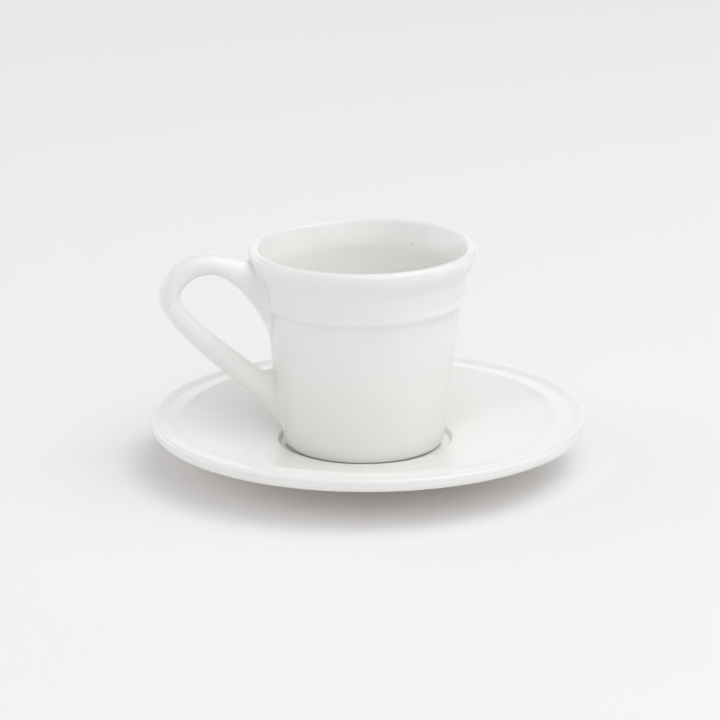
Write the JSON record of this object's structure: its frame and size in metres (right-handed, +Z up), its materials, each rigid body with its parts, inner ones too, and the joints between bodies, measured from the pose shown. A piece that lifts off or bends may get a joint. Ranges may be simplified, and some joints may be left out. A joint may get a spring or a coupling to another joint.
{
  "type": "espresso cup with saucer",
  "caption": "Tapered espresso cup with a rolled lip, a raised ridge and a loop handle, standing in the well of a shallow round saucer on a foot ring.",
  "frame": {"origin": "on the table, under the axis that the cup and the saucer share", "axes": "+Z up along the shared axis, the handle points along -X"},
  "size_m": [0.125, 0.125, 0.0644],
  "materials": {
    "white_glaze": "glossy white glaze on stoneware, with the standing rings wiped bare"
  },
  "bodies": {
    "saucer": {"saucer": "white_glaze"},
    "cup": {"cup_body": "white_glaze", "cup_handle": "white_glaze"}
  },
  "joints": [
    {"name": "cup_lift", "type": "slide", "parent": "saucer", "child": "cup", "axis": [0, 0, 1], "range_m": [0, 0.1]}
  ]
}
